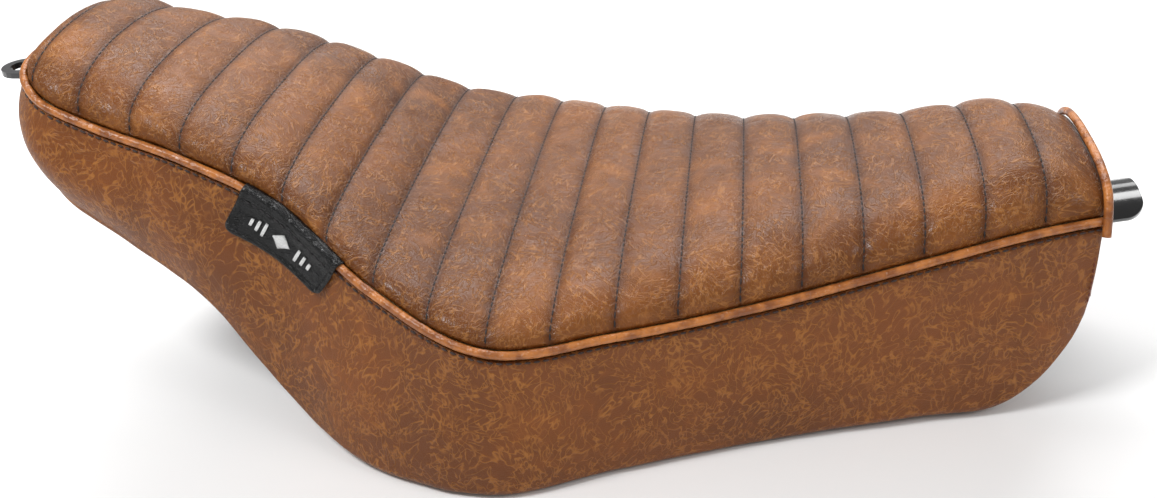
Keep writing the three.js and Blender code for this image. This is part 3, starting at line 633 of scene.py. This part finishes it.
def stuffed(piece, held, frames=16, pressure=3.0, slack=0.002, most=0.0016):
    """Blows a sewn panel up against its seams with Blender's cloth, and keeps the result."""
    mesh = piece.data
    before = np.empty(len(mesh.vertices) * 3)
    mesh.vertices.foreach_get("co", before)
    pins = piece.vertex_groups.new(name="seams")
    pins.add([int(i) for i in held], 1.0, "REPLACE")
    cloth = piece.modifiers.new("cloth", "CLOTH")
    settings = cloth.settings
    settings.vertex_group_mass = "seams"
    settings.quality = 6
    settings.mass = 0.15
    settings.tension_stiffness = settings.compression_stiffness = 12
    settings.shear_stiffness = 6
    settings.bending_stiffness = 4.0
    settings.use_pressure = True
    settings.uniform_pressure_force = pressure
    settings.shrink_min = -slack
    settings.effector_weights.gravity = 0
    cloth.collision_settings.use_collision = False
    cloth.point_cache.frame_start, cloth.point_cache.frame_end = 1, frames
    scene = bpy.context.scene
    for frame_number in range(1, frames + 1):
        scene.frame_set(frame_number)
    graph = bpy.context.evaluated_depsgraph_get()
    blown = piece.evaluated_get(graph).data
    after = np.empty_like(before)
    blown.vertices.foreach_get("co", after)
    piece.modifiers.remove(cloth)
    piece.vertex_groups.clear()
    scene.frame_set(1)
    move = (after - before).reshape(-1, 3)
    length = np.linalg.norm(move, axis=1, keepdims=True)
    move *= np.minimum(1, most / np.maximum(length, 1e-9))
    mesh.vertices.foreach_set("co", (before.reshape(-1, 3) + move).ravel())
    mesh.update()


def grid_place(piece):
    """Row and column of each point of a panel."""
    found = []
    for name in ("row", "column"):
        values = np.empty(len(piece.data.vertices), int)
        piece.data.attributes[name].data.foreach_get("value", values)
        found.append(values)
    return found


def seams_marked(piece, row):
    """Keeps the seams sharp when the panel is rounded, and marks the points on and beside them, where the
    leather gets painted shade.
    """
    near = np.min(np.abs(row[:, None] - np.asarray(seam_rows)[None, :]), axis=1)
    beside = piece.data.attributes.new("seam", "FLOAT", "POINT")
    beside.data.foreach_set("value", np.select([near == 0, near == 1], [1.0, 0.3], 0.0))
    edges = np.empty(len(piece.data.edges) * 2, int)
    piece.data.edges.foreach_get("vertices", edges)
    edges = edges.reshape(-1, 2)
    sharp = (near[edges] == 0).all(1) & (row[edges[:, 0]] == row[edges[:, 1]])
    crease = piece.data.attributes.new("crease_edge", "FLOAT", "EDGE")
    crease.data.foreach_set("value", np.where(sharp, 0.9, 0.0))


top_row, top_column = grid_place(top_cover)
held = np.isin(top_row, seam_rows + [0, len(top_x) - 1])
held |= (top_column == 0) | (top_column == TOP_ACROSS)
stuffed(top_cover, np.flatnonzero(held))
seams_marked(top_cover, top_row)
round_off = top_cover.modifiers.new("round", "SUBSURF")
round_off.levels = round_off.render_levels = 1
thickened(top_cover, 1.2)

# Padding and foam block -----------------------------------------------------------------------

PADDING_DEPTH = 2.4  # under the seams of the leather

padding_points = top_base + top_out * ((share * (PUFF - 1.0) - SEAM_DEPTH - PADDING_DEPTH)[..., None])
padding_points[..., 1] *= 0.985
padding_points[..., 0] = np.minimum(padding_points[..., 0], NOSE_X - 1.5)
pleat_padding = finished("pleat_padding", sheet_of(padding_points[2::2, ::2]), foam_finish,
                         ["pleat_padding"], (0, 0, 1))
thickened(pleat_padding, 3.0)

bm = bmesh.new()
bm.from_mesh(nodes["foam_cushion"].data)
bm.transform(nodes["foam_cushion"].matrix_world)
bmesh.ops.remove_doubles(bm, verts=bm.verts, dist=1e-6)
foam_cushion = finished("foam_cushion", bm, foam_finish, ["foam_cushion"])
moulded = foam_cushion.modifiers.new("moulded", "REMESH")
moulded.mode, moulded.voxel_size, moulded.use_smooth_shade = "VOXEL", 0.004, True
worn_in = foam_cushion.modifiers.new("worn_in", "SMOOTH")
worn_in.factor, worn_in.iterations = 0.5, 6

# Side panels --------------------------------------------------------------------------------

WALL, ROLL = 0.58, 0.84  # shares of the way down where the wall ends and where the roll ends


def side_points(run, down):
    """The right side panel: round the rim by down from the welt to the turned edge."""
    plan = rim_plan(run)
    out = rim_outward(run)
    edge = flare(plan[..., 0])
    turn = plan + out * (edge - HEM_RADIUS)[..., None]
    foot = underside(turn[..., 0], turn[..., 1])
    top = rim_point(run)[..., 2] - WELT_FOOT
    part = np.clip(down / WALL, 0, 1)
    reach = edge * part + bulge(plan[..., 0]) * np.sin(math.pi * part)
    height = top + (foot + HEM_RADIUS - top) * part
    angle = np.clip((down - WALL) / (ROLL - WALL), 0, 1) * math.pi / 2
    rolled = down > WALL
    reach = np.where(rolled, edge - HEM_RADIUS + HEM_RADIUS * np.cos(angle), reach)
    height = np.where(rolled, foot + HEM_RADIUS * (1 - np.sin(angle)), height)
    under = np.clip((down - ROLL) / (1 - ROLL), 0, 1)
    reach = reach - HEM_TURN * under
    inner = plan + out * reach[..., None]
    height = np.where(down > ROLL, underside(inner[..., 0], inner[..., 1]) + HEM_RISE * under, height)
    x = np.minimum(inner[..., 0], NOSE_X)
    return np.stack([x, inner[..., 1], height], -1)


def tuck(down):
    """How far the side panel stands out where it is sewn to the piping."""
    return 2.6 * np.exp(-((down / 0.10) ** 1.5)) - 1.2 * np.exp(-((down / 0.006) ** 2))


def side_panel(name, side):
    """A side panel: side is 1 on the right and -1 on the left."""
    run = np.linspace(0.2, RIM_LENGTH, 300)[:, None]
    down = np.concatenate([np.linspace(0, WALL, 38), np.linspace(WALL, ROLL, 12)[1:],
                           np.linspace(ROLL, 1, 8)[1:]])[None, :]
    points = side_points(run + down * 0, down + run * 0)
    out = normals(points)
    if out[150, 10, 1] > 0:
        out = -out
    calm = np.clip(np.minimum(down / 0.06, (ROLL - down) / 0.2), 0, 1)
    soft = waver(points, 42, 3 + side) * 1.1 + waver(points, 15, 5 + side) * 0.35
    points = points + out * (soft * calm + tuck(down))[..., None]
    points[..., 1] *= side
    points[..., 0] = np.minimum(points[..., 0], NOSE_X)
    points[..., 2] = np.maximum(points[..., 2], 0.0)
    return finished(name, sheet_of(points), shade_darkened_side_leather, [name], (0, -side, 0))


side_covers = [side_panel("side_cover_right", 1), side_panel("side_cover_left", -1)]
for cover in side_covers:
    thickened(cover, LEATHER)

# Piping -------------------------------------------------------------------------------------

run = np.linspace(0, RIM_LENGTH, 420)
right_line = rim_point(run, WELT_REACH, WELT_DROP)
right_line[:, 0] = np.minimum(right_line[:, 0], NOSE_X - 0.3)
left_line = right_line[1:] * (1, -1, 1)
welt_line = np.concatenate([right_line[::-1], left_line])
wrinkled = 1 + 0.05 * waver(welt_line, 7, 9) + 0.05 * waver(welt_line, 2.6, 12)
finished("side_welt", tube_of(welt_line, WELT_SHOWN * wrinkled[:, None], 14), welt_leather,
         ["side_welt"])

NOSE_WELT_ENDS = ((0, -6.5, -9.0), (0, -6.8, -5.0), (0, -5.0, -1.5))  # past the front corner


def nose_welt_line():
    """Middle of the front piping: over the end of the top and down past both corners."""
    row = top_rows(np.array([NOSE_X]), np.linspace(0, 1, 90))[0]
    out = np.cross(np.gradient(row, axis=0), (-1.0, 0, 0))
    out /= np.linalg.norm(out, axis=1, keepdims=True)
    if out[len(out) // 2, 2] < 0:
        out = -out
    right_end = row[0] + NOSE_WELT_ENDS
    left_end = row[-1] + np.array(NOSE_WELT_ENDS[::-1]) * (1, -1, 1)
    line = np.concatenate([right_end, (row + out * 2.6)[3:-3], left_end])
    line[:, 0] = NOSE_X + 0.9
    line = on_line(line, np.arange(len(line)), np.linspace(0, len(line) - 1, 260))
    for _ in range(60):
        line[1:-1] = (line[:-2] + 2 * line[1:-1] + line[2:]) / 4
    return line


finished("nose_welt", tube_of(nose_welt_line(), WELT_SHOWN, 20, up=(1, 0, 0)), welt_leather,
         ["nose_welt"])

# Threads ------------------------------------------------------------------------------------

PLEAT_STITCH = {"length": 3.3, "radius": 0.42, "raised": 0.15}
WELT_STITCH = {"length": 3.0, "radius": 0.6, "raised": 0.6, "level": 0.008}
FRONT_STITCH = {"length": 0.028, "radius": 0.4, "raised": 0.7, "count": 12}  # length down the panel


def pleat_stitches():
    """A row of thread along each seam between pleats."""
    bm = bmesh.new()
    for i in seam_rows[:-1]:
        row = cloth_points[i]
        run = lengths(row)
        start = np.linspace(2, run[-1] - STITCH_PITCH, int(run[-1] / STITCH_PITCH))
        outs = on_line(top_out[i], run, start)
        a, b = (on_line(row, run, at) + outs * PLEAT_STITCH["raised"]
                for at in (start, start + PLEAT_STITCH["length"]))
        stitch_row(bm, a, b, outs, PLEAT_STITCH["radius"])
    return bm


def welt_stitches():
    """Thread on the side panels just under the piping."""
    bm = bmesh.new()
    for side in (1, -1):
        start = np.arange(3, RIM_LENGTH - STITCH_PITCH, STITCH_PITCH)
        out = rim_outward(start)
        outs = np.concatenate([out, np.full((len(out), 1), 0.2)], 1)
        outs /= np.linalg.norm(outs, axis=1, keepdims=True)
        level = WELT_STITCH["level"]
        reach = tuck(level) + WELT_STITCH["raised"]
        a, b = (side_points(at, np.full(len(at), level)) + outs * reach
                for at in (start, start + WELT_STITCH["length"]))
        for points in (a, b, outs):
            points[:, 1] *= side
        stitch_row(bm, a, b, outs, WELT_STITCH["radius"])
    return bm


def front_stitches():
    """Thread down the seams between the side panels and the front panel."""
    bm = bmesh.new()
    count = FRONT_STITCH["count"]
    for side in (1, -1):
        down = np.linspace(0.02, 0.46, count)
        a, b = (side_points(np.full(count, RIM_LENGTH - 2.2), level)
                for level in (down, down + FRONT_STITCH["length"]))
        for points in (a, b):
            points[:, 1] = (points[:, 1] - FRONT_STITCH["raised"]) * side
        stitch_row(bm, a, b, np.tile((0.2, -side, 0.1), (count, 1)), FRONT_STITCH["radius"])
    return bm


finished("pleat_stitches", pleat_stitches(), pleat_thread)
finished("welt_stitches", welt_stitches(), seam_thread)

# Tag ----------------------------------------------------------------------------------------

# lean: how far the tag slants back for each millimetre down. turn, fold: angle and radius of its wrap
# over the piping. row: place of its stitches below the rim.
TAG = {"from": -126.0, "to": -77.0, "drop": 27.0, "corner": 5.0, "thickness": 1.2, "lean": 0.5,
       "turn": math.radians(140), "fold": WELT_RADIUS + 0.9, "row": 7.2}
TAG_WRAP = TAG["turn"] * TAG["fold"]
TAG_LENGTH = TAG_WRAP + TAG["drop"] - WELT_DROP
TAG_WIDTH = float(run_at(TAG["to"]) - run_at(TAG["from"]))


def ridge(place, middle, width):
    return np.exp(-(((place - middle) / width) ** 2))


def tag_face(u, v, raised=0.0):
    """Face of the tag: u along the seat, v down from the piping."""
    down = TAG_LENGTH * v - TAG_WRAP
    turn = np.clip(-down / TAG["fold"], 0, None)
    drop = WELT_DROP + np.where(down > 0, down, -TAG["fold"] * np.sin(turn))
    low = np.clip(drop - (TAG["drop"] - TAG["corner"]), 0, TAG["corner"])
    inset = TAG["corner"] - np.sqrt(TAG["corner"] ** 2 - low**2)
    run = run_at(TAG["from"]) + inset + (TAG_WIDTH - 2 * inset) * u - TAG["lean"] * drop
    rim = rim_point(run)
    foot = underside(rim[..., 0], rim[..., 1]) + HEM_RADIUS
    part = np.clip((drop - WELT_FOOT) / (rim[..., 2] - WELT_FOOT - foot), 0, 1)
    wall = flare(rim[..., 0]) * part + bulge(rim[..., 0]) * np.sin(math.pi * part)
    over = WELT_REACH + TAG["fold"] * np.cos(turn) - 1.6 * smooth(drop, 5, 14)
    border = np.minimum(np.minimum(u, 1 - u) * (TAG_WIDTH - 2 * inset), TAG["drop"] - drop)
    roll = 0.55 * ridge(border, 1.3, 0.8) - 0.35 * ridge(border, 2.9, 0.5)
    fold = np.where(down > 0, 0.4 * ridge(drop, 5.4, 0.9) - 0.5 * ridge(drop, TAG["row"], 0.6), 0)
    return rim_point(run, np.maximum(wall, 0) + over + roll + fold + raised, drop)


u, v = np.meshgrid(np.linspace(0, 1, 91), np.linspace(0, 1, 57), indexing="ij")
side_tag = finished("side_tag", sheet_of(tag_face(u, v)), tag_leather, ["side_tag"],
                    (0, -1, 0.3))
thickened(side_tag, TAG["thickness"])
eased(side_tag, 0.6)


def tag_stitches(sewn, starts, ends, radius, raised):
    """Stitches on the tag between places along its face and below the rim."""
    a, b = (tag_face(at[:, 0] / TAG_WIDTH, (at[:, 1] - WELT_DROP + TAG_WRAP) / TAG_LENGTH, raised)
            for at in (np.asarray(starts, float), np.asarray(ends, float)))
    stitch_row(sewn, a, b, np.tile((0.0, -1.0, 0.25), (len(a), 1)), radius)


bm = bmesh.new()
steps = np.arange(3.5, TAG_WIDTH - 5, 3.9)
tag_stitches(bm, [(step, TAG["row"]) for step in steps], [(step + 3.0, TAG["row"]) for step in steps],
             0.4, 0.7)
finished("tag_row", bm, pleat_thread)

bm = bmesh.new()
middle, level = TAG_WIDTH / 2, 16.4
starts, ends = [], []
for step in np.arange(-5.0, 5.01, 0.55):  # a sewn lozenge
    tall = 5.0 - abs(step)
    starts.append((middle + step, level - tall))
    ends.append((middle + step, level + tall))
for side in (-1, 1):
    for reach, tall in ((9.5, 4.2), (13.0, 3.2), (16.5, 2.2)):  # bars that step down beside it
        for step in (-0.5, 0.0, 0.5):
            starts.append((middle + side * reach + step, level - tall))
            ends.append((middle + side * reach + step, level + tall))
tag_stitches(bm, starts, ends, 0.36, 0.3)
finished("tag_motif", bm, white_thread)

# Steel pieces -------------------------------------------------------------------------------

TONGUE = {"tip": 296.0, "root": 205.0, "half": 20.0, "radius": 36.0, "corner": 8.0, "thickness": 3.0}


def tongue_crest(x):
    """Height of the tongue's middle, straight on from the underside at the nose."""
    slope = (arch_top(NOSE_X) - arch_top(TONGUE["root"])) / (NOSE_X - TONGUE["root"])
    return arch_top(NOSE_X) + 2.8 + slope * (x - NOSE_X)


u, v = np.meshgrid(np.linspace(0, 1, 70), np.linspace(-1, 1, 41), indexing="ij")
x = TONGUE["root"] + (TONGUE["tip"] - TONGUE["root"]) * np.sin(u * math.pi / 2)
near = np.clip(x - (TONGUE["tip"] - TONGUE["corner"]), 0, TONGUE["corner"])
y = (TONGUE["half"] - TONGUE["corner"] + np.sqrt(TONGUE["corner"] ** 2 - near**2)) * v
z = tongue_crest(x) - TONGUE["radius"] + np.sqrt(TONGUE["radius"] ** 2 - y**2)
front_tongue = finished("front_tongue", sheet_of(np.stack([x, y, z], -1)), tongue_paint,
                        ["front_tongue"], (0, 0, 1))
thickened(front_tongue, TONGUE["thickness"])
eased(front_tongue, 0.8)

# Front panel --------------------------------------------------------------------------------

v = np.linspace(0, 1, 40)[:, None]
top_line = top_rows(np.array([NOSE_X]), np.linspace(0, 1, 81))[0]
y = top_line[:, 1][None, :] * (1 + 0.06 * v)
bottom = underside(NOSE_X, top_line[:, 1]) + 5.4
z = top_line[:, 2][None, :] * (1 - v) + bottom[None, :] * v
x = NOSE_X + 0.2 + 1.6 * np.sin(math.pi * np.clip(v * 1.1, 0, 1)) * np.cos(y / 34 * 0.9)
front = np.stack([x + 0 * z, y + 0 * z, z], -1)
nose_cover = finished("nose_cover", sheet_of(front), shade_darkened_side_leather, ["nose_cover"], (1, 0, 0))
thickened(nose_cover, LEATHER)
finished("front_stitches", front_stitches(), front_thread)

# Camera, lights and floor -------------------------------------------------------------------

def camera():
    """The view from above the right side, a little forward of square on."""
    azimuth, elevation, roll = map(math.radians, (8.794, 30.348, -3.289))
    distance, target = 0.6446, Vector((0.0114, 0, 0.055))
    back = Vector((math.sin(azimuth) * math.cos(elevation), -math.cos(azimuth) * math.cos(elevation),
                   math.sin(elevation)))
    right = (-back).cross(Vector((0, 0, 1))).normalized()
    up = right.cross(-back)
    turned_right = right * math.cos(roll) + up * math.sin(roll)
    turned_up = up * math.cos(roll) - right * math.sin(roll)
    data = bpy.data.cameras.new("camera")
    data.sensor_width = 36
    data.lens = 36.81
    data.clip_start, data.clip_end = 0.01, 50
    made = bpy.data.objects.new("camera", data)
    turn = Matrix((turned_right, turned_up, back)).transposed().to_4x4()
    made.matrix_world = Matrix.Translation(target + back * distance) @ turn
    bpy.context.scene.collection.objects.link(made)
    bpy.context.scene.camera = made


def softbox(name, place, aim, size, power):
    data = bpy.data.lights.new(name, "AREA")
    data.shape = "RECTANGLE"
    data.size, data.size_y = size
    data.energy = power
    made = bpy.data.objects.new(name, data)
    made.location = place
    made.rotation_mode = "QUATERNION"
    made.rotation_quaternion = (Vector(aim) - Vector(place)).to_track_quat("-Z", "Y")
    bpy.context.scene.collection.objects.link(made)


camera()
softbox("overhead", (0.0, 0.75, 1.1), (0, 0, 0.1), (1.6, 0.35), 15)
softbox("behind", (0.1, 1.35, 0.72), (0.05, 0, 0.1), (1.9, 0.3), 5)
softbox("front_left", (-0.55, -0.5, 1.15), (-0.12, 0, 0.1), (0.4, 0.3), 11)
softbox("front_right", (1.1, -0.5, 1.0), (0.1, 0, 0.08), (0.5, 0.4), 4)

world = bpy.data.worlds.new("studio")
world.use_nodes = True
world.node_tree.nodes["Background"].inputs["Color"].default_value = (1, 1, 1, 1)
world.node_tree.nodes["Background"].inputs["Strength"].default_value = 0.38
bpy.context.scene.world = world
bpy.context.scene.view_settings.view_transform = "Standard"

bm = bmesh.new()
bmesh.ops.create_grid(bm, x_segments=2, y_segments=2, size=12)
for vertex in bm.verts:
    vertex.co.z = -0.0004
floor_mesh = bpy.data.meshes.new("floor")
bm.to_mesh(floor_mesh)
bm.free()
floor = bpy.data.objects.new("floor", floor_mesh)
bpy.context.scene.collection.objects.link(floor)
paper = Finish("paper")
paper.set(Base_Color=(0.9, 0.9, 0.9, 1), Roughness=0.9)
floor_mesh.materials.append(paper.material)

# CAD pieces that stay as they are, with their finishes -----------------------------------------

KEPT = {
    "base_pan": pan_paint, "fender_carpet": carpet_felt, "frame_carpet": carpet_felt,
    "rear_tab": tab_paint, "bumper": rubber_finish,
}
for name, piece in nodes.items():
    if not piece.hide_render:
        kind = name.removesuffix("_1").removesuffix("_2").removesuffix("_right").removesuffix("_left")
        piece.data.materials.clear()
        piece.data.materials.append(KEPT.get(kind, zinc))
